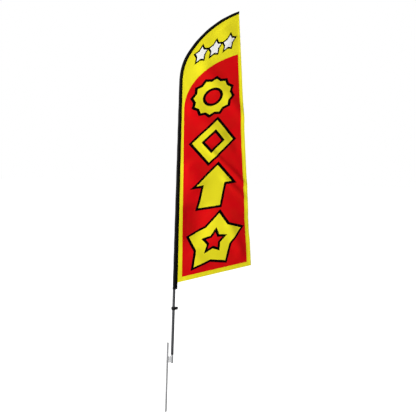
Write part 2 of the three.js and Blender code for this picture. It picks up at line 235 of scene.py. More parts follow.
# red field: straight sides, a slanting foot and a bowed top
FIELD_FOOT = (0.072, 0.809)
FIELD_SLOPE = math.radians(9.6)
FIELD_LEFT_LEAN = -0.0200
FIELD_RIGHT = 0.7415
FIELD_RIGHT_LEAN = -0.0960
BOW_CENTRE = (1.206, 2.320)
BOW_SIZE = (1.165, 0.657)

# motifs stand one above another on the slanting foot line and lean like italics
MOTIF_SLOPE = math.radians(9.6)
MOTIF_LEAN = math.radians(9.7)
ROW_SLOPE = math.radians(27.7)


def box_distance(shader, u, v, half_u, half_v):
    past_side = shader.sub(shader.math("ABSOLUTE", u), half_u)
    past_end = shader.sub(shader.math("ABSOLUTE", v), half_v)
    return shader.largest(past_side, past_end)


def star_distance(shader, u, v, points, outer, inner):
    """Distance outside a star's edge, negative inside it; one point is at the top."""
    sector = math.pi / points
    turn = shader.math("PINGPONG", shader.math("ARCTAN2", u, v), sector)
    radius = shader.math("SQRT", shader.add(shader.mul(u, u), shader.mul(v, v)))
    across = shader.mul(radius, shader.math("SINE", turn))
    along = shader.mul(radius, shader.math("COSINE", turn))
    edge = Vector((inner * math.sin(sector), inner * math.cos(sector) - outer))
    normal = Vector((-edge.y, edge.x)).normalized()
    return shader.add(shader.mul(across, normal.x), shader.mul(shader.sub(along, outer), normal.y))


def diamond_distance(shader, u, v, half_u, half_v):
    share_u = shader.mul(shader.math("ABSOLUTE", u), 1 / half_u)
    share_v = shader.mul(shader.math("ABSOLUTE", v), 1 / half_v)
    share = shader.add(share_u, share_v)
    return shader.mul(shader.sub(share, 1.0), half_u * half_v / math.hypot(half_u, half_v))


def star_motif(shader, u, v, size):
    """A fat five-point star with a small star cut out of it."""
    v = shader.add(v, 0.06 * size)
    star = star_distance(shader, u, v, 5, size * 1.10, size * 0.72)
    hole = star_distance(shader, u, v, 5, size * 0.30, size * 0.16)
    return shader.largest(star, shader.mul(hole, -1.0))


def small_star(shader, u, v, size):
    return star_distance(shader, u, shader.add(v, 0.06 * size), 5, size * 1.1, size * 0.66)


def diamond_motif(shader, u, v, size):
    band = 0.47 * size
    outside = diamond_distance(shader, u, v, size, size)
    return shader.largest(outside, shader.sub(-band, outside))


def arrow_motif(shader, u, v, size):
    """A block arrow that points up and away from the pole's foot."""
    shaft = box_distance(shader, u, shader.add(v, 0.27 * size), 0.54 * size, 0.67 * size)
    slope = Vector((1.0, 1.0)).normalized()
    sideways = shader.mul(shader.math("ABSOLUTE", u), slope.x)
    flank = shader.add(sideways, shader.mul(shader.sub(v, size), slope.y))
    head = shader.largest(flank, shader.sub(0.0, v))
    return shader.smallest(shaft, head)


def burst_motif(shader, u, v, size):
    burst = star_distance(shader, u, v, 12, size * 1.06, size * 0.93)
    radius = shader.math("SQRT", shader.add(shader.mul(u, u), shader.mul(v, v)))
    return shader.largest(burst, shader.sub(0.33 * size, radius))


# shape, centre on the cloth, half width, half height
BIG_MOTIFS = (
    (burst_motif, (0.311, 2.455), 0.208, 0.182),
    (diamond_motif, (0.330, 2.058), 0.240, 0.232),
    (arrow_motif, (0.352, 1.648), 0.238, 0.232),
    (star_motif, (0.380, 1.150), 0.284, 0.278),
)
SMALL_MOTIFS = (
    (small_star, (0.185, 2.821), 0.082, 0.088),
    (small_star, (0.317, 2.890), 0.082, 0.088),
    (small_star, (0.449, 2.959), 0.082, 0.088),
)


def motif_place(shader, x, z, centre, slope, lean, half_u, half_v):
    """Coordinates in a motif's own slanted axes, in which it is as tall and as wide as half_v."""
    axes = Matrix(((math.cos(slope), math.sin(lean)), (math.sin(slope), math.cos(lean))))
    back = axes.inverted()
    dx, dz = shader.sub(x, centre[0]), shader.sub(z, centre[1])
    u = shader.add(shader.mul(dx, back[0][0]), shader.mul(dz, back[0][1]))
    v = shader.add(shader.mul(dx, back[1][0]), shader.mul(dz, back[1][1]))
    return shader.mul(u, half_v / half_u), v


def motif_group(shader, x, z, motifs, slope):
    parts = []
    for shape, centre, half_u, half_v in motifs:
        u, v = motif_place(shader, x, z, centre, slope, MOTIF_LEAN, half_u, half_v)
        parts.append(shape(shader, u, v, half_v))
    return shader.smallest(*parts)


def red_field(shader, x, z):
    """Distance outside the red field."""
    foot_x, foot_z = FIELD_FOOT
    left = shader.sub(shader.add(foot_x, shader.mul(shader.sub(z, foot_z), FIELD_LEFT_LEAN)), x)
    right = shader.sub(x, shader.add(FIELD_RIGHT, shader.mul(shader.sub(z, foot_z), FIELD_RIGHT_LEAN)))
    foot = shader.sub(shader.add(foot_z, shader.mul(shader.sub(x, foot_x), math.tan(FIELD_SLOPE))), z)
    bow_u = shader.mul(shader.sub(x, BOW_CENTRE[0]), 1 / BOW_SIZE[0])
    bow_v = shader.mul(shader.largest(shader.sub(z, BOW_CENTRE[1]), 0.0), 1 / BOW_SIZE[1])
    from_centre = shader.math("SQRT", shader.add(shader.mul(bow_u, bow_u), shader.mul(bow_v, bow_v)))
    bow = shader.mul(shader.sub(from_centre, 1.0), BOW_SIZE[1])
    return shader.largest(left, right, foot, bow)


def inside(shader, distance, margin=0.0):
    """1 inside a shape and 0 outside it, with the slight bleed of dye in cloth."""
    return shader.ramp(distance, -margin - INK_EDGE, -margin + INK_EDGE, 1.0, 0.0)


def flag_material():
    shader = Shader("printed_polyester")
    plan = shader.uv_place("cloth_plan")
    x, z, _ = shader.split(plan)
    colour = shader.mix(inside(shader, red_field(shader, x, z)), YELLOW, RED)
    big = motif_group(shader, x, z, BIG_MOTIFS, MOTIF_SLOPE)
    small = motif_group(shader, x, z, SMALL_MOTIFS, ROW_SLOPE)
    big_inner = inside(shader, big, OUTLINE)
    small_inner = inside(shader, small, SMALL_OUTLINE)
    colour = shader.mix(big_inner, colour, YELLOW)
    colour = shader.mix(small_inner, colour, INK_WHITE)
    # dye takes a little unevenly, and the print shows slightly paler through the back
    mottle = shader.ramp(shader.noise(plan, 9.0, 4.0), 0.3, 0.7, 0.0, 0.05)
    colour = shader.mix(mottle, colour, rgb(150, 80, 20))
    colour = shader.mix(shader.sub(inside(shader, big), big_inner), colour, INK_BLACK)
    colour = shader.mix(shader.sub(inside(shader, small), small_inner), colour, INK_BLACK)
    back = shader.nodes.new("ShaderNodeAttribute")
    back.attribute_name = "cloth_back"
    colour = shader.mix(shader.mul(back.outputs["Fac"], 0.04), colour, rgb(235, 225, 215))
    shader.set(Base_Color=colour, Specular_IOR_Level=0.0, Sheen_Weight=0.01, Sheen_Roughness=0.45)
    shader.set(Roughness=shader.ramp(shader.noise(plan, 30.0, 3.0), 0.3, 0.7, 0.48, 0.6))
    # fine knit: wales along the flag and courses across it
    wales = shader.math("SINE", shader.mul(x, 2 * math.pi / WALE_PITCH))
    course_phase = shader.mul(z, 2 * math.pi / COURSE_PITCH)
    courses = shader.math("SINE", shader.add(course_phase, shader.mul(wales, 0.9)))
    knit = shader.add(shader.mul(wales, 0.6), shader.mul(courses, 0.4))
    shader.bump(shader.add(knit, shader.mul(shader.noise(plan, 260.0, 3.0), 0.8)), 0.00006)
    return shader.material


def sleeve_material():
    shader = Shader("sleeve_webbing")
    plan = shader.uv_place("cloth_plan")
    around, along, _ = shader.split(plan)
    warp = shader.math("SINE", shader.mul(around, 2 * math.pi / WARP_PITCH))
    weft = shader.math("SINE", shader.mul(along, 2 * math.pi / WEFT_PITCH))
    weave = shader.mul(warp, weft)
    dust = shader.ramp(shader.noise(plan, 14.0, 5.0, 0.6), 0.45, 0.8, 0.0, 0.35)
    colour = shader.mix(dust, rgb(4, 4, 5), rgb(13, 13, 15))
    shader.set(Base_Color=shader.mix(shader.ramp(weave, -1, 1, 0.0, 0.35), colour, rgb(10, 10, 12)))
    uneven = shader.noise(plan, 60.0, 3.0)
    shader.set(Roughness=shader.ramp(uneven, 0.3, 0.7, 0.52, 0.66), Specular_IOR_Level=0.10)
    shader.bump(shader.add(weave, shader.noise(plan, 300.0, 2.0)), 0.00012)
    return shader.material


def thread_material(name, colour):
    shader = Shader(name)
    place = shader.object_place()
    twist = shader.math("SINE", shader.mul(shader.add(*shader.split(place)[0:2]), 9000.0))
    shade = tuple(0.6 * c for c in colour[:3]) + (1.0,)
    shader.set(Base_Color=shader.mix(shader.ramp(twist, -1, 1, 0.0, 0.4), colour, shade))
    shader.set(Roughness=0.5, Specular_IOR_Level=0.5)
    shader.bump(twist, 0.00005)
    return shader.material


def tube_material(name, colour, roughness, metallic):
    """Drawn tube or bar: faint lengthwise lines, a slightly uneven coat and a few rubbed spots."""
    shader = Shader(name)
    place = shader.object_place()
    lines = shader.noise(shader.stretched(place, (1400.0, 1400.0, 6.0)), 1.0, 3.0, 0.6)
    cloud = shader.noise(shader.stretched(place, (30.0, 30.0, 9.0)), 1.0, 4.0, 0.55)
    dark = tuple(0.72 * c for c in colour[:3]) + (1.0,)
    shader.set(Base_Color=shader.mix(shader.ramp(cloud, 0.35, 0.7, 0.0, 0.5), colour, dark))
    streaks = shader.ramp(lines, 0.2, 0.8, -0.07, 0.07)
    coat = shader.ramp(cloud, 0.3, 0.7, roughness - 0.04, roughness + 0.05)
    shader.set(Roughness=shader.add(streaks, coat), Metallic=metallic)
    shader.bump(lines, 0.00004)
    return shader.material


def spike_material(name, colour, metallic, shade_low, shade_high):
    """Zinc-plated steel: faintly spangled and drawn lengthwise, with painted shade that darkens it towards
    its lower end, which on the rod is the point; it is also rougher there.
    """
    shader = Shader(name)
    place = shader.object_place()
    height = shader.split(place)[2]
    lines = shader.noise(shader.stretched(place, (900.0, 900.0, 14.0)), 1.0, 3.0, 0.6)
    spangle = shader.noise(shader.stretched(place, (110.0, 110.0, 60.0)), 1.0, 4.0, 0.6)
    patches = shader.noise(shader.stretched(place, (60.0, 60.0, 25.0)), 1.0, 4.0)
    # painted shade: below a ragged edge the colour darkens to half, and the surface is made rougher there
    ragged = shader.add(height, shader.mul(patches, 0.03))
    below = shader.ramp(ragged, shade_low, shade_high, 1.0, 0.0)
    low_end_shade = shader.mul(below, shader.ramp(lines, 0.35, 0.65, 0.55, 1.0))
    dull = tuple(0.82 * c for c in colour[:3]) + (1.0,)
    shaded_colour = tuple(0.50 * c for c in colour[:3]) + (1.0,)
    plated = shader.mix(shader.ramp(spangle, 0.3, 0.7), colour, dull)
    shader.set(Base_Color=shader.mix(low_end_shade, plated, shaded_colour), Metallic=metallic)
    shader.set(Roughness=shader.add(shader.ramp(lines, 0.2, 0.8, 0.32, 0.44), shader.mul(low_end_shade, 0.18)))
    shader.bump(shader.add(lines, shader.mul(spangle, 1.5)), 0.00009)
    return shader.material


def moulded_material(name, colour, roughness, grain=1.0):
    """Moulded nylon or rubber: a fine sparked texture, greyer where it rubs."""
    shader = Shader(name)
    place = shader.object_place()
    fine = shader.noise(place, 2600.0, 2.0, 0.7)
    broad = shader.noise(place, 70.0, 4.0, 0.6)
    worn = tuple(min(1.0, 2.2 * c + 0.01) for c in colour[:3]) + (1.0,)
    shader.set(Base_Color=shader.mix(shader.ramp(broad, 0.45, 0.75, 0.0, 0.6), colour, worn))
    rubbed = shader.ramp(broad, 0.3, 0.7, roughness - 0.06, roughness + 0.08)
    shader.set(Roughness=rubbed, Specular_IOR_Level=0.22)
    shader.bump(fine, 0.00005 * grain)
    return shader.material


def glassfibre_material(name):
    shader = Shader(name)
    place = shader.object_place()
    fibres = shader.noise(shader.stretched(place, (1800.0, 1800.0, 12.0)), 1.0, 3.0, 0.65)
    shader.set(Base_Color=shader.mix(shader.ramp(fibres, 0.35, 0.7), rgb(30, 30, 32), rgb(62, 61, 58)))
    shader.set(Roughness=shader.ramp(fibres, 0.3, 0.7, 0.28, 0.42), Coat_Weight=0.3, Coat_Roughness=0.2)
    shader.bump(fibres, 0.00004)
    return shader.material


# ---------- mesh tools ----------

def new_piece(name, verts, faces, material, body, smooth_angle=40):
    mesh = bpy.data.meshes.new(name)
    mesh.from_pydata([tuple(v) for v in verts], [], faces)
    mesh.polygons.foreach_set("use_smooth", [True] * len(mesh.polygons))
    mesh.set_sharp_from_angle(angle=math.radians(smooth_angle))
    mesh.update()
    mesh.validate()
    piece = bpy.data.objects.new(name, mesh)
    bpy.context.scene.collection.objects.link(piece)
    mesh.materials.append(material)
    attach(piece, body)
    return piece


def rounded_profile(corners, steps=4):
    """Rounds the corners of a closed [radius, height, rounding] profile."""
    points = []
    count = len(corners)
    for i, (r, z, rounding) in enumerate(corners):
        here = Vector((r, z))
        before = Vector(corners[i - 1][:2]) - here
        after = Vector(corners[(i + 1) % count][:2]) - here
        if rounding <= 0 or before.length < 1e-9 or after.length < 1e-9:
            points.append(here)
            continue
        reach = min(rounding, before.length * 0.49, after.length * 0.49)
        start, end = here + before.normalized() * reach, here + after.normalized() * reach
        for k in range(steps + 1):
            t = k / steps
            points.append(start * (1 - t) ** 2 + here * 2 * t * (1 - t) + end * t ** 2)
    return points


def turned_mesh(corners, centre=(0.0, 0.0), sides=64):
    """Vertices and faces of a profile turned about a vertical axis; points on the axis are shared."""
    profile = rounded_profile(corners)
    verts, rings = [], []
    for p in profile:
        if p.x < 1e-7:
            rings.append([len(verts)])
            verts.append((centre[0], centre[1], p.y))
            continue
        rings.append(list(range(len(verts), len(verts) + sides)))
        for k in range(sides):
            a = 2 * math.pi * k / sides
            verts.append((centre[0] + p.x * math.cos(a), centre[1] + p.x * math.sin(a), p.y))
    faces = []
    for i, low in enumerate(rings):
        high = rings[(i + 1) % len(rings)]
        if len(low) == 1 and len(high) == 1:
            continue
        for k in range(sides):
            n = (k + 1) % sides
            if len(low) == 1:
                faces.append((low[0], high[n], high[k]))
            elif len(high) == 1:
                faces.append((low[k], low[n], high[0]))
            else:
                faces.append((low[k], low[n], high[n], high[k]))
    return verts, faces


def turned_piece(name, node, corners, material, body, centre=(0.0, 0.0)):
    verts, faces = turned_mesh(corners, centre)
    piece = new_piece(name, verts, faces, material, body)
    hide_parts(node)


def box_radius(node):
    low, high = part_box(node)
    return (high.y - low.y) / 2


def pole_at(distance):
    """Place and heading on the pole's centreline; the heading is measured from vertical."""
    if distance <= BEND_START:
        return 0.0, distance, 0.0
    into_tight = min(distance - BEND_START, TIGHT_LENGTH)
    heading = into_tight / TIGHT_RADIUS
    x = TIGHT_RADIUS * (1 - math.cos(heading))
    z = BEND_START + TIGHT_RADIUS * math.sin(heading)
    into_wide = distance - BEND_START - TIGHT_LENGTH
    if into_wide <= 0:
        return x, z, heading
    heading = TIGHT_ANGLE + into_wide / WIDE_RADIUS
    x += WIDE_RADIUS * (math.cos(TIGHT_ANGLE) - math.cos(heading))
    z += WIDE_RADIUS * (math.sin(heading) - math.sin(TIGHT_ANGLE))
    return x, z, heading


def beside_pole(distance, offset):
    x, z, heading = pole_at(distance)
    return Vector((x + offset * math.cos(heading), z - offset * math.sin(heading)))


def beside_sleeve(distance, offset):
    """A point on the sleeve's section, which slants near the far end to follow the flag's free edge."""
    slant = float(smooth_step(distance, TIP_DISTANCE - END_CUT_LENGTH, TIP_DISTANCE))
    return beside_pole(distance - offset * END_CUT_SLOPE * slant, offset)


def along_sleeve(distance, low, high):
    share = (distance - SLEEVE_BOTTOM) / (TIP_DISTANCE - SLEEVE_BOTTOM)
    return low + (high - low) * share


def seam_reach(distance):
    return along_sleeve(distance, SEAM_LOW, SEAM_HIGH)


def smooth_step(value, low, high):
    t = np.clip((value - low) / (high - low), 0.0, 1.0)
    return t * t * (3 - 2 * t)


# ---------- flag panel ----------

# soft folds in the cloth: from, to, half width and height, which is negative towards the front
FOLDS = (
    ((0.20, 2.06), (0.76, 1.60), 0.030, -0.0135),
    ((0.40, 1.77), (0.72, 1.50), 0.032, -0.0100),
    ((0.21, 1.52), (0.23, 1.08), 0.130, 0.0280),
    ((0.60, 2.80), (0.74, 1.10), 0.120, 0.0040),
    ((0.06, 1.86), (0.24, 1.60), 0.100, -0.0130),
    ((0.17, 2.76), (0.42, 2.46), 0.085, -0.0160),
    ((0.40, 2.54), (0.70, 2.22), 0.055, -0.0130),
    ((0.04, 2.42), (0.46, 2.04), 0.080, -0.0150),
    ((0.49, 1.38), (0.70, 0.94), 0.050, -0.0110),
    ((0.73, 1.43), (0.78, 1.15), 0.080, 0.0110),
    ((0.36, 3.10), (0.50, 2.94), 0.070, -0.0070),
    ((0.14, 1.06), (0.30, 0.88), 0.060, -0.0070),
    ((0.46, 2.20), (0.62, 1.96), 0.055, 0.0080),
)
PINNED_WIDTH = 0.085


def seam_line():
    """The seam between sleeve and flag as plan points, from the sleeve's foot to its tip."""
    distances = np.linspace(SLEEVE_BOTTOM, TIP_DISTANCE, 400)
    return np.array([beside_sleeve(d, seam_reach(d)) for d in distances])


def one_fold(x, z, start, end, width, height):
    """A ridge along a line, rounded across and fading at both ends."""
    run, rise = end[0] - start[0], end[1] - start[1]
    length = math.hypot(run, rise)
    along = ((x - start[0]) * run + (z - start[1]) * rise) / length ** 2
    across = ((z - start[1]) * run - (x - start[0]) * rise) / length
    past_middle = np.maximum(np.abs(2 * along - 1) - 0.5, 0.0)
    return height * np.exp(-(across / width) ** 2 - 8 * past_middle ** 2)


def ripples(x, z):
    """Small uneven creases that cross the whole cloth."""
    slow = np.sin(z / 0.21 + 2.0 * x / 0.3)
    first = np.sin((0.62 * z + 0.78 * x) / 0.019 + 1.6 * slow + 1.3 * np.sin(x / 0.09))
    second = np.sin((0.35 * z - 0.93 * x) / 0.027 + 1.1 * np.sin(z / 0.13))
    patches = 0.5 + 0.5 * np.sin(z / 0.26 + 1.0) * np.sin(x / 0.12 + z / 0.5)
    return 0.00045 * first * patches + 0.0006 * second * (1 - patches)


def fold(x, z):
    """How far the cloth stands out of its plane, which is nothing at the sleeve's seam."""
    seam = seam_line()
    from_seam = x - np.interp(z, seam[:, 1], seam[:, 0])
    pinned = smooth_step(from_seam, 0.0, PINNED_WIDTH)
    depth = sum(one_fold(x, z, *shape) for shape in FOLDS)
    return depth * pinned + ripples(x, z) * smooth_step(from_seam, 0.0, 0.02)


def edge_stations(length, hem):
    """Distances up an edge: close together at the hem, then even to the end."""
    count = int(round((length - hem) / CLOTH_STEP))
    even = np.linspace(hem + 0.0012, length, count)
    return np.concatenate(([0.0, hem * 0.33, hem * 0.66, hem - 0.0004], even))


def panel_plan():
    """The flat cut as a grid of plan points: rows from the foot to the tip, columns from sleeve to fly."""
    left_length = TIP_DISTANCE - PANEL_CORNER
    shares = edge_stations(left_length, HEM_WIDTH)
    top = beside_sleeve(TIP_DISTANCE, seam_reach(TIP_DISTANCE))
    foot = Vector(FLY_CORNER)
    fly_length = (top - foot).length
    columns = int(round(FLY_CORNER[0] / CLOTH_STEP))
    plan = np.zeros((len(shares), columns + 4, 2))
    for row, s in enumerate(shares):
        t = s / left_length
        right_s = s if s < HEM_WIDTH + 0.0013 else s / left_length * fly_length
        left = beside_sleeve(PANEL_CORNER + s, seam_reach(PANEL_CORNER + s) - TUCK)
        right = foot + (top - foot) * (right_s / fly_length)
        across = right - left
        hem = min(HEM_WIDTH, across.length * 0.3)
        direction = across.normalized() if across.length > 1e-6 else Vector((1, 0))
        inner = left + direction * (across.length - hem)
        for c in range(columns):
            plan[row, c] = left.lerp(inner - direction * 0.0004 * (1 - t), c / (columns - 1))
        for k, part in enumerate((0.04, 0.36, 0.68, 1.0)):
            plan[row, columns + k] = inner + direction * hem * part
    return plan


def grid_normals(points):
    along_u = np.gradient(points, axis=1)
    along_v = np.gradient(points, axis=0)
    n = np.cross(along_u, along_v)
    n = n / np.maximum(np.linalg.norm(n, axis=2, keepdims=True), 1e-12)
    return np.where(n[..., 1:2] > 0, -n, n)


def panel_thickness(rows, columns):
    half = np.full((rows, columns), CLOTH_HALF_THICKNESS)
    half[:4, :] = HEM_HALF_THICKNESS
    half[:, -4:] = HEM_HALF_THICKNESS
    return half


def closed_sheet(name, points, half, plan, material, body):
    """A closed thin sheet around a grid of points, with the plan kept as a UV layer."""
    rows, columns = points.shape[:2]
    normals = grid_normals(points)
    front, back = points + normals * half[..., None], points - normals * half[..., None]
    count = rows * columns
    verts = np.concatenate((front.reshape(-1, 3), back.reshape(-1, 3)))
    faces = []

    def index(r, c, side):
        return side * count + r * columns + c

    for r in range(rows - 1):
        for c in range(columns - 1):
            quad = [(r, c), (r, c + 1), (r + 1, c + 1), (r + 1, c)]
            faces.append([index(a, b, 0) for a, b in quad])
            faces.append([index(a, b, 1) for a, b in reversed(quad)])
    rim = [(0, c) for c in range(columns)] + [(r, columns - 1) for r in range(1, rows)]
    rim += [(rows - 1, c) for c in range(columns - 2, -1, -1)] + [(r, 0) for r in range(rows - 2, 0, -1)]
    for i, here in enumerate(rim):
        there = rim[(i + 1) % len(rim)]
        faces.append([index(*there, 0), index(*here, 0), index(*here, 1), index(*there, 1)])
    piece = new_piece(name, verts, faces, material, body, smooth_angle=60)
    mesh = piece.data
    layer = mesh.uv_layers.new(name="cloth_plan")
    flat = np.concatenate((plan.reshape(-1, 2), plan.reshape(-1, 2)))
    corner_vertex = np.zeros(len(mesh.loops), np.int32)
    mesh.loops.foreach_get("vertex_index", corner_vertex)
    layer.data.foreach_set("uv", flat[corner_vertex].astype(np.float32).ravel())
    side = mesh.attributes.new("cloth_back", "FLOAT", "POINT")
    side.data.foreach_set("value", (np.arange(2 * count) >= count).astype(np.float32))
    return piece


def hem_puckers(plan):
    """Little gathers that the thread pulls into the foot and fly hems."""
    foot_share = np.exp(-(((plan[..., 1] - plan[:1, :, 1]) - HEM_WIDTH) / 0.016) ** 2)
    fly_share = np.exp(-((np.linalg.norm(plan - plan[:, -1:], axis=2) - HEM_WIDTH) / 0.016) ** 2)
    foot = np.sin(plan[..., 0] / 0.0061 + 2 * np.sin(plan[..., 0] / 0.031))
    fly = np.sin(plan[..., 1] / 0.0068 + 2 * np.sin(plan[..., 1] / 0.037))
    return 0.0005 * (foot * foot_share + fly * fly_share)


def flag_panel(material):
    plan = panel_plan()
    points = np.zeros(plan.shape[:2] + (3,))
    points[..., 0], points[..., 2] = plan[..., 0], plan[..., 1]
    points[..., 1] = fold(plan[..., 0], plan[..., 1]) + hem_puckers(plan)
    half = panel_thickness(*plan.shape[:2])
    return plan, points, half, closed_sheet("flag_cloth", points, half, plan, material, UPPER)


# ---------- stitching ----------

STITCH_LENGTH = 0.0036
STITCH_PITCH = 0.0048
STITCH_RADIUS = 0.00032


def stitch_mesh(lines):
    """Short threads laid end to end along polylines of (points, normals)."""
    verts, faces = [], []
    for points, normals in lines:
        steps = np.linalg.norm(np.diff(points, axis=0), axis=1)
        run = np.concatenate(([0.0], np.cumsum(steps)))
        for middle in np.arange(STITCH_PITCH, run[-1] - STITCH_PITCH, STITCH_PITCH):
            ends = []
            for s in (middle - STITCH_LENGTH / 2, middle, middle + STITCH_LENGTH / 2):
                ends.append(Vector([np.interp(s, run, points[:, k]) for k in range(3)]))
            normal = Vector([np.interp(middle, run, normals[:, k]) for k in range(3)]).normalized()
            along = (ends[2] - ends[0]).normalized()
            side = along.cross(normal).normalized() * STITCH_RADIUS
            lift = normal * STITCH_RADIUS
            base = len(verts)
            verts += [ends[0] - lift * 0.6, ends[1] + side, ends[1] + lift, ends[1] - side,
                      ends[1] - lift, ends[2] - lift * 0.6]
            for k in range(4):
                n = (k + 1) % 4
                faces.append((base, base + 1 + k, base + 1 + n))
                faces.append((base + 5, base + 1 + n, base + 1 + k))
    return verts, faces


def hem_stitching(points, half, material):
    normals = grid_normals(points)
    lines = []
    for side in (-1, 1):
        for rows, columns in ((slice(2, None), -3), (2, slice(4, -2))):
            line = points[rows, columns]
            out = normals[rows, columns] * side
            lines.append((line + out * (half[rows, columns][:, None]), out))
    verts, faces = stitch_mesh(lines)
    return new_piece("hem_stitching", verts, faces, material, UPPER, smooth_angle=80)


# ---------- sleeve ----------

SLEEVE_SIDES = 56
SEAM_SIDES = 7


def sleeve_section(distance, inner):
    """One section as [towards the flag, across] pairs, starting at the seam's edge."""
    radius = along_sleeve(distance, BORE_LOW, BORE_HIGH) + (0 if inner else SLEEVE_WALL)
    reach = seam_reach(distance)
    opening = math.acos(min(0.999, radius / reach))
    flank_start = reach - 0.010
    points = []
    for k in range(SEAM_SIDES):
        t = k / (SEAM_SIDES - 1)
        meet = Vector((radius * math.cos(opening), radius * math.sin(opening)))
        edge = Vector((reach, SEAM_HALF_THICKNESS))
        mid = Vector((max(flank_start, meet.x), SEAM_HALF_THICKNESS + 0.0006))
        points.append(edge * (1 - t) ** 2 + mid * 2 * t * (1 - t) + meet * t ** 2)
    arc = SLEEVE_SIDES - 2 * SEAM_SIDES
    for k in range(1, arc + 1):
        a = opening + (2 * math.pi - 2 * opening) * k / (arc + 1)
        points.append(Vector((radius * math.cos(a), radius * math.sin(a))))
    for k in range(SEAM_SIDES - 1, -1, -1):
        points.append(Vector((points[k].x, -points[k].y)))
    return points


def sleeve_ripple(distance, angle_share, offset):
    """Small folds where the cloth bunches on the inside of the bend, and slack ones elsewhere."""
    bend = math.exp(-((distance - BEND_START - 0.10) / 0.16) ** 2)
    inner_side = max(0.0, offset / 0.02)
    bunch = 0.0011 * bend * inner_side * math.sin(distance / 0.0034 + 2 * math.sin(distance / 0.021))
    slack = 0.0005 * math.sin(distance / 0.031 + 5 * angle_share + 1.7 * math.sin(distance / 0.17))
    return bunch + slack


def pole_sleeve(material):
    count = int((TIP_DISTANCE - SLEEVE_BOTTOM) / SLEEVE_STEP)
    stations = [SLEEVE_BOTTOM + (TIP_DISTANCE - SLEEVE_BOTTOM) * i / count for i in range(count + 1)]
    verts, uvs, faces = [], [], []
    hem_edge = SLEEVE_BOTTOM + SLEEVE_HEM
    for distance in stations:
        section = sleeve_section(distance, False)
        thick = SLEEVE_HEM_EXTRA if distance < hem_edge else 0.0
        closing = 1 - 0.55 * smooth_step(distance, TIP_DISTANCE - 0.03, TIP_DISTANCE)
        run = 0.0
        for k, p in enumerate(section):
            grow = sleeve_ripple(distance, k / SLEEVE_SIDES, p.x) + thick
            scale = 1 + grow / max(p.length, 1e-4)
            offset, y = p.x, p.y * scale * closing
            if p.x < 0:
                offset *= scale
            place = beside_sleeve(distance, offset)
            verts.append((place.x, y, place.y))
            run += (p - section[k - 1]).length if k else 0.0
            uvs.append((run, distance))
    sides = SLEEVE_SIDES
    for row in range(len(stations) - 1):
        for k in range(sides):
            n = (k + 1) % sides
            low, high = row * sides, (row + 1) * sides
            faces.append((low + k, low + n, high + n, high + k))
    # the mouth turns in over a hem, and a short stretch of the inside is seen through it
    mouth_rows = (0.0, 0.004, 0.06)
    inner_start = len(verts)
    for depth in mouth_rows:
        for k, p in enumerate(sleeve_section(SLEEVE_BOTTOM + depth, True)):
            shrink = 0.985 if depth else 1.0
            offset = p.x * shrink if p.x < BORE_LOW else p.x - 0.004
            verts.append((offset, p.y * shrink, SLEEVE_BOTTOM + depth))
            uvs.append((k * 0.0015, SLEEVE_BOTTOM - depth))
    for k in range(sides):
        n = (k + 1) % sides
        faces.append((n, k, inner_start + k, inner_start + n))
        for row in range(len(mouth_rows) - 1):
            low = inner_start + row * sides
            faces.append((low + n, low + k, low + sides + k, low + sides + n))
    inner_end = inner_start + (len(mouth_rows) - 1) * sides
    faces.append([inner_end + k for k in range(sides)][::-1])
    last = (len(stations) - 1) * sides
    faces.append([last + k for k in range(sides)])
    piece = new_piece("sleeve_cloth", verts, faces, material, UPPER, smooth_angle=50)
    mesh = piece.data
    layer = mesh.uv_layers.new(name="cloth_plan")
    for loop in mesh.loops:
        layer.data[loop.index].uv = uvs[loop.vertex_index]
    return piece


def sleeve_stitching(material):
    lines = []
    for inset in STITCH_ROWS:
        for side in (-1, 1):
            points, normals = [], []
            for distance in np.arange(SLEEVE_BOTTOM + 0.004, TIP_DISTANCE - 0.004, 0.01):
                place = beside_sleeve(distance, seam_reach(distance) - inset)
                _, _, heading = pole_at(distance)
                section = sleeve_section(distance, False)
                offsets = [p.x for p in section[:SEAM_SIDES]][::-1]
                heights = [p.y for p in section[:SEAM_SIDES]][::-1]
                height = np.interp(seam_reach(distance) - inset, offsets, heights)
                points.append((place.x, side * (height + 0.0001), place.y))
                normals.append((0.25 * math.cos(heading), side, -0.25 * math.sin(heading)))
            lines.append((np.array(points), np.array(normals)))
    verts, faces = stitch_mesh(lines)
    new_piece("sleeve_stitching", verts, faces, material, UPPER, smooth_angle=80)


# ---------- spike ----------

def spike_pieces(rod_steel, zinc, lit_web_zinc):
    low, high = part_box("spike_rod")
    radius = box_radius("spike_rod")
    axis = ((low.x + high.x) / 2, 0.0)
    turned_piece("spike_rod_steel", "spike_rod", [
        (0.0, low.z, 0), (ROD_TIP_RADIUS, low.z, 0.0008), (radius, low.z + ROD_POINT_LENGTH, 0.004),
        (radius, high.z - 0.0015, 0.0008), (radius - 0.0015, high.z, 0.0008), (0.0, high.z, 0),
    ], rod_steel, SPIKE, axis)
    peg_low, peg_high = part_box("spike_peg")
    base = box_radius("spike_peg")
    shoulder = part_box("thrust_washer")[0].z - GAP
    turned_piece("spike_peg_steel", "spike_peg", [
        (0.0, peg_low.z, 0), (base, peg_low.z, 0.0016), (base, shoulder, 0.0008),
        (SPINDLE_RADIUS, shoulder, 0.0006), (SPINDLE_RADIUS, peg_high.z, 0.004), (0.0, peg_high.z, 0),
    ], zinc, SPIKE)
    plate_piece(axis[0], radius, base, lit_web_zinc)
    for side in (-1, 1):
        # the welds beside the rod take the lighter zinc: painted light that lifts the rod's shadow off them
        weld_bead(f"weld_rod_{'front' if side < 0 else 'back'}", axis[0], radius, 1, side, lit_web_zinc)
        weld_bead(f"weld_peg_{'front' if side < 0 else 'back'}", 0.0, base, -1, side, zinc)


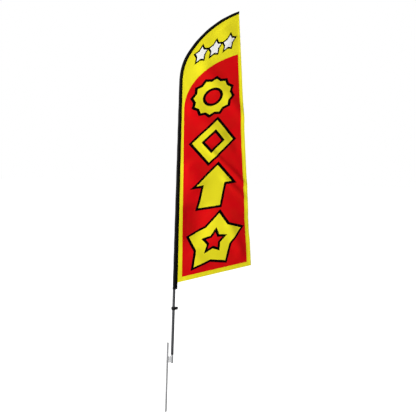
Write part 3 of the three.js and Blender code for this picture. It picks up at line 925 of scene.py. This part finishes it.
def plate_piece(rod_x, rod_radius, peg_radius, material):
    low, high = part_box("spike_plate")
    bm = bmesh.new()
    bmesh.ops.create_cube(bm, size=1.0)
    left, right = rod_x + rod_radius * 0.86, -peg_radius * 0.92
    size = Vector((right - left, high.y - low.y, high.z - low.z))
    for v in bm.verts:
        v.co = Vector(((left + right) / 2, 0.0, (low.z + high.z) / 2)) + v.co * size
    bmesh.ops.bevel(bm, geom=list(bm.edges), offset=0.0009, segments=3, affect="EDGES", profile=0.6)
    bmesh.ops.recalc_face_normals(bm, faces=bm.faces)
    verts = [v.co.copy() for v in bm.verts]
    faces = [[v.index for v in f.verts] for f in bm.faces]
    bm.free()
    piece = new_piece("spike_web_steel", verts, faces, material, SPIKE, 30)
    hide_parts("spike_plate")


def weld_bead(name, axis_x, radius, towards, side, material):
    """A rippled fillet in the corner between the web and a round bar."""
    low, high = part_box("spike_plate")
    half_plate = (high.y - low.y) / 2
    corner = Vector((axis_x + towards * math.sqrt(radius ** 2 - half_plate ** 2), side * half_plate))
    rows, around, leg = 90, 9, 0.0042
    verts, faces = [], []
    for i in range(rows + 1):
        t = i / rows
        z = low.z + 0.002 + (high.z - low.z - 0.004) * t
        ends = min(1.0, 10 * t, 10 * (1 - t)) ** 0.5
        ripple = 1 + 0.09 * abs(math.sin(math.pi * z / 0.0026)) + 0.05 * math.sin(z / 0.0071 + axis_x * 90)
        for k in range(around):
            a = math.pi * k / (around - 1)
            size = leg * ripple * max(ends, 0.02)
            across = Vector((towards * 0.62, side * 0.78))
            flat = Vector((towards * 0.78, -side * 0.62))
            swell = 0.62 * math.sin(a)
            place = corner + flat * size * math.cos(a) * 0.95 + across * size * (swell - 0.12)
            verts.append((place.x, place.y, z))
    for i in range(rows):
        for k in range(around):
            n = (k + 1) % around
            quad = (i * around + k, i * around + n, (i + 1) * around + n, (i + 1) * around + k)
            faces.append(quad if towards * side > 0 else quad[::-1])
    ends = ([k for k in range(around)], [rows * around + k for k in range(around)])
    faces.append(ends[0][::-1] if towards * side > 0 else ends[0])
    faces.append(ends[1] if towards * side > 0 else ends[1][::-1])
    new_piece(name, verts, faces, material, SPIKE, 60)


# ---------- pole hardware ----------

def ring_corners(node, inner, rounding):
    low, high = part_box(node)
    outer = box_radius(node)
    return [(inner, low.z, rounding), (outer, low.z, rounding), (outer, high.z, rounding),
            (inner, high.z, rounding)]


def pole_pieces(tube, nylon):
    turned_piece("thrust_washer_nylon", "thrust_washer", ring_corners("thrust_washer", BUSH_BORE, 0.0004),
                 nylon, WASHER)
    low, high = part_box("lower_bush")
    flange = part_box("lower_tube")[0].z - GAP
    turned_piece("lower_bush_nylon", "lower_bush", [
        (BUSH_BORE, low.z, 0.0004), (box_radius("lower_bush"), low.z, 0.0012),
        (box_radius("lower_bush"), flange, 0.0010), (BUSH_BARREL, flange, 0.0003),
        (BUSH_BARREL, high.z, 0.0008), (BUSH_BORE, high.z, 0.0004),
    ], nylon, LOWER)
    turned_piece("lower_tube_grey", "lower_tube", ring_corners("lower_tube", LOWER_BORE, 0.0005),
                 tube, LOWER)
    low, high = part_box("middle_tube")
    outer = box_radius("middle_tube")
    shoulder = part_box("lower_tube")[1].z + GAP
    turned_piece("middle_tube_grey", "middle_tube", [
        (SPIGOT_INNER, low.z, 0.0004), (SPIGOT_OUTER, low.z, 0.0004), (SPIGOT_OUTER, shoulder, 0.0003),
        (outer, shoulder, 0.0008), (outer, high.z, 0.0005), (MIDDLE_BORE, high.z, 0.0004),
        (MIDDLE_BORE, shoulder + 0.008, 0.0010), (SPIGOT_INNER, shoulder, 0.0010),
    ], tube, UPPER)


def hook_collar(nylon):
    """The moulded ring and its lug, joined into one body with soft edges; the tie's notch is at the back."""
    low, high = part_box("hook_collar")
    ring_radius = box_radius("hook_collar")
    bore = box_radius("lower_tube") + GAP
    verts, faces = turned_mesh([
        (bore, low.z, 0.0004), (ring_radius - 0.0035, low.z, 0.0018),
        (ring_radius, low.z + 0.0035, 0.0026), (ring_radius, high.z - 0.0035, 0.0030),
        (ring_radius - 0.0035, high.z, 0.0024), (bore, high.z, 0.0010),
    ], sides=80)
    ring = new_piece("tie_hook_nylon", verts, faces, nylon, HOOK, 35)
    lug = lug_block(low, high)
    notch = notch_block(low, high)
    for operation, other in (("UNION", lug), ("DIFFERENCE", notch)):
        boolean = ring.modifiers.new(operation.lower(), "BOOLEAN")
        boolean.operation, boolean.object, boolean.solver = operation, other, "EXACT"
    soft = ring.modifiers.new("soften", "BEVEL")
    soft.width, soft.segments, soft.limit_method, soft.angle_limit = 0.0008, 3, "ANGLE", math.radians(40)
    apply_modifiers(ring)
    for other in (lug, notch):
        bpy.data.objects.remove(other)
    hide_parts("hook_collar")


def slab_piece(name, outline, low_y, high_y):
    """A flat outline in the flag's plane, given thickness across it."""
    bm = bmesh.new()
    face = bm.faces.new([bm.verts.new((p.x, low_y, p.y)) for p in outline])
    pushed = bmesh.ops.extrude_face_region(bm, geom=[face])
    moved = [v for v in pushed["geom"] if isinstance(v, bmesh.types.BMVert)]
    bmesh.ops.translate(bm, vec=(0, high_y - low_y, 0), verts=moved)
    bmesh.ops.recalc_face_normals(bm, faces=bm.faces)
    mesh = bpy.data.meshes.new(name)
    bm.to_mesh(mesh)
    bm.free()
    piece = bpy.data.objects.new(name, mesh)
    bpy.context.scene.collection.objects.link(piece)
    return piece


def lug_block(low, high):
    bottom, top = low.z + 0.0005, high.z - 0.001
    corners = ((LUG_ROOT, bottom, 0), (high.x, bottom, 0.0060), (high.x, top, 0.0060), (LUG_ROOT, top, 0))
    return slab_piece("lug_block", rounded_profile(corners, steps=8), -LUG_WIDTH / 2, LUG_WIDTH / 2)


def notch_block(low, high):
    start, end = NOTCH
    corners = ((start, low.z - 0.002, 0), (end, low.z - 0.002, 0), (end, high.z + 0.002, 0),
               (start, high.z + 0.002, 0))
    return slab_piece("notch_block", rounded_profile(corners), NOTCH_FLOOR, LUG_WIDTH)


def apply_modifiers(piece):
    graph = bpy.context.evaluated_depsgraph_get()
    shaped = piece.evaluated_get(graph)
    done = bpy.data.meshes.new_from_object(shaped, preserve_all_data_layers=True, depsgraph=graph)
    piece.modifiers.clear()
    piece.data = done


def dress_hidden_nodes(nylon, fibre, zinc, rubber):
    """Pieces inside the tubes and the sleeve keep their CAD shape."""
    dress = {
        "upper_guide_bush": nylon, "middle_ferrule": nylon, "upper_tube": fibre,
        "tip_ferrule": zinc, "tip_rod": fibre, "tip_cap": rubber,
    }
    for node, material in dress.items():
        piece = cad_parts[node]
        piece.data.materials.clear()
        piece.data.materials.append(material)


# ---------- stage ----------

def white_room():
    world = bpy.data.worlds.new("studio")
    bpy.context.scene.world = world
    world.use_nodes = True
    nodes, links = world.node_tree.nodes, world.node_tree.links
    nodes.clear()
    out = nodes.new("ShaderNodeOutputWorld")
    light = nodes.new("ShaderNodeBackground")
    seen = nodes.new("ShaderNodeBackground")
    mix = nodes.new("ShaderNodeMixShader")
    light.inputs[0].default_value = (1.0, 1.0, 1.0, 1)
    towards = nodes.new("ShaderNodeVectorMath")
    towards.operation = "DOT_PRODUCT"
    links.new(nodes.new("ShaderNodeTexCoord").outputs["Generated"], towards.inputs[0])
    towards.inputs[1].default_value = SOFTBOX_SIDE
    glow = nodes.new("ShaderNodeMapRange")
    glow.interpolation_type = "SMOOTHSTEP"
    for socket, number in zip(glow.inputs[1:5], (-0.7, 0.9, ROOM_DARK, ROOM_BRIGHT)):
        socket.default_value = number
    links.new(towards.outputs["Value"], glow.inputs[0])
    path = nodes.new("ShaderNodeLightPath")
    # matt surfaces get less of the room's light than shiny ones, so the lamps model the cloth's folds
    share = nodes.new("ShaderNodeMapRange")
    share.inputs["To Min"].default_value = 1.0
    share.inputs["To Max"].default_value = ROOM_ON_MATT
    links.new(path.outputs["Is Diffuse Ray"], share.inputs["Value"])
    strength = nodes.new("ShaderNodeMath")
    strength.operation = "MULTIPLY"
    links.new(glow.outputs[0], strength.inputs[0])
    links.new(share.outputs[0], strength.inputs[1])
    links.new(strength.outputs[0], light.inputs[1])
    seen.inputs[0].default_value = (1, 1, 1, 1)
    seen.inputs[1].default_value = 1.0
    links.new(path.outputs["Is Camera Ray"], mix.inputs[0])
    links.new(light.outputs[0], mix.inputs[1])
    links.new(seen.outputs[0], mix.inputs[2])
    links.new(mix.outputs[0], out.inputs[0])


def floor():
    bpy.ops.mesh.primitive_plane_add(size=120, location=(0, 0, CAD_LOW.z - 0.001))
    plane = bpy.context.object
    plane.name = "studio_floor"
    shader = Shader("studio_floor_white")
    shader.set(Base_Color=(0.42, 0.42, 0.42, 1), Roughness=0.9, Specular_IOR_Level=0.1)
    shader.set(Emission_Color=(1, 1, 1, 1), Emission_Strength=0.95)
    plane.data.materials.append(shader.material)
    plane.visible_diffuse = plane.visible_glossy = False


def area_light(name, place, aim, size, watts):
    data = bpy.data.lights.new(name, "AREA")
    data.size, data.energy, data.shape = size, watts, "DISK"
    light = bpy.data.objects.new(name, data)
    bpy.context.scene.collection.objects.link(light)
    light.location = place
    light.rotation_mode = "QUATERNION"
    light.rotation_quaternion = (Vector(aim) - Vector(place)).to_track_quat("-Z", "Y")


def lights():
    area_light("key", (-5.6, -3.4, 2.6), (0.3, 0, 1.8), 1.4, 640)
    area_light("fill", (2.5, -5.5, 3.2), (0.3, 0, 1.6), 3.0, 20)
    area_light("back", (2.8, 5.2, 3.6), (0.3, 0, 1.6), 3.0, 160)


def camera():
    data = bpy.data.cameras.new("camera")
    data.lens, data.sensor_width = CAMERA_LENS, 36.0
    data.clip_start, data.clip_end = 0.05, 200.0
    cam = bpy.data.objects.new("camera", data)
    bpy.context.scene.collection.objects.link(cam)
    azimuth, elevation = math.radians(VIEW_AZIMUTH), math.radians(VIEW_ELEVATION)
    outwards = math.cos(elevation)
    back = Vector((math.sin(azimuth) * outwards, -math.cos(azimuth) * outwards, math.sin(elevation)))
    cam.location = CAMERA_PLACE
    cam.rotation_mode = "QUATERNION"
    level = (-back).to_track_quat("-Z", "Y")
    cam.rotation_quaternion = level @ Quaternion((0, 0, 1), math.radians(VIEW_ROLL))
    bpy.context.scene.camera = cam


# ---------- everything together ----------

def build():
    camera()
    white_room()
    floor()
    lights()
    bpy.context.scene.view_settings.view_transform = "Standard"

    # the last two numbers of each spike material are the heights over which its painted shade fades out
    # upwards
    rod_steel = spike_material("rod_steel", rgb(166, 166, 168), 0.45, CAD_LOW.z + 0.006, CAD_LOW.z + 0.040)
    zinc = spike_material("bright_zinc", rgb(178, 179, 181), 0.34, -0.004, 0.020)
    # painted light: a much lighter, barely metallic copy of the spike's zinc, so the web looks lit
    lit_web_zinc = spike_material("lit_web_zinc", rgb(247, 247, 248), 0.08, -0.010, 0.0)
    tube = tube_material("anodised_grey", rgb(82, 83, 86), 0.30, 0.66)
    nylon = moulded_material("moulded_nylon", rgb(5, 5, 6), 0.30)
    rubber = moulded_material("cap_rubber", rgb(16, 16, 17), 0.75, 1.6)
    fibre = glassfibre_material("glassfibre")

    spike_pieces(rod_steel, zinc, lit_web_zinc)
    pole_pieces(tube, nylon)
    hook_collar(nylon)
    dress_hidden_nodes(nylon, fibre, zinc, rubber)

    pole_sleeve_piece = pole_sleeve(sleeve_material())
    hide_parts("pole_sleeve")
    black_thread = thread_material("black_thread", rgb(26, 26, 28))
    yellow_thread = thread_material("yellow_thread", rgb(226, 212, 60))
    sleeve_stitching(black_thread)

    plan, points, half, cloth = flag_panel(flag_material())
    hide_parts("flag_panel")
    hem_threads = hem_stitching(points, half, yellow_thread)


build()
